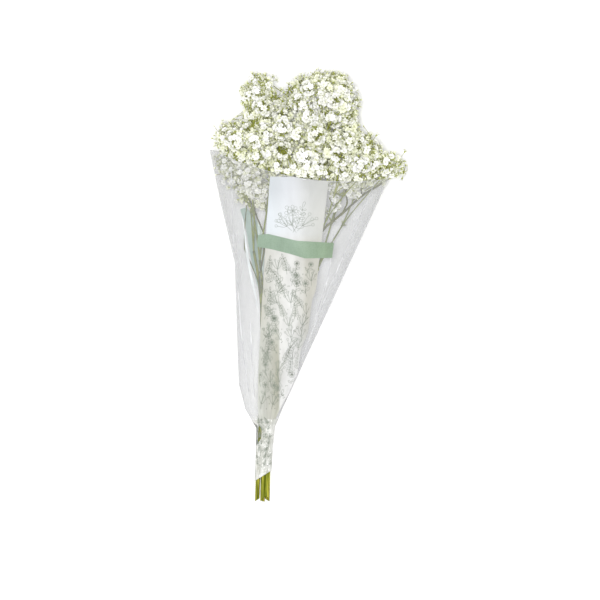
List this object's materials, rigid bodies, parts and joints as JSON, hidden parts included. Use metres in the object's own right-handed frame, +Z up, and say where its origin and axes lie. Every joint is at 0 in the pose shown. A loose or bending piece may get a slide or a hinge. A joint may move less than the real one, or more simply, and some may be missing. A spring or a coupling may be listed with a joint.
{
  "type": "sleeved gypsophila bunch",
  "caption": "Bunch of white gypsophila on cut green stems in a clear, tapered film sleeve, lying on its side.",
  "frame": {"origin": "under the middle of the bunch's bounding box, on the surface that it lies on", "axes": "+Y along the bunch from the cut stem ends to the flowers, +X to the right seen from the printed side with the flowers away from the viewer, +Z up from the surface"},
  "size_m": [0.2279, 0.5005, 0.1185],
  "materials": {
    "film": "clear, glossy, lightly creased",
    "rubber": "matt",
    "plant": "matt white petals on green stems"
  },
  "bodies": {
    "root": {"film_sleeve": "film", "rubber_band": "rubber", "spray_back_left": "plant", "spray_back_middle": "plant", "spray_back_right": "plant", "spray_front_left": "plant", "spray_front_right": "plant"}
  },
  "joints": []
}
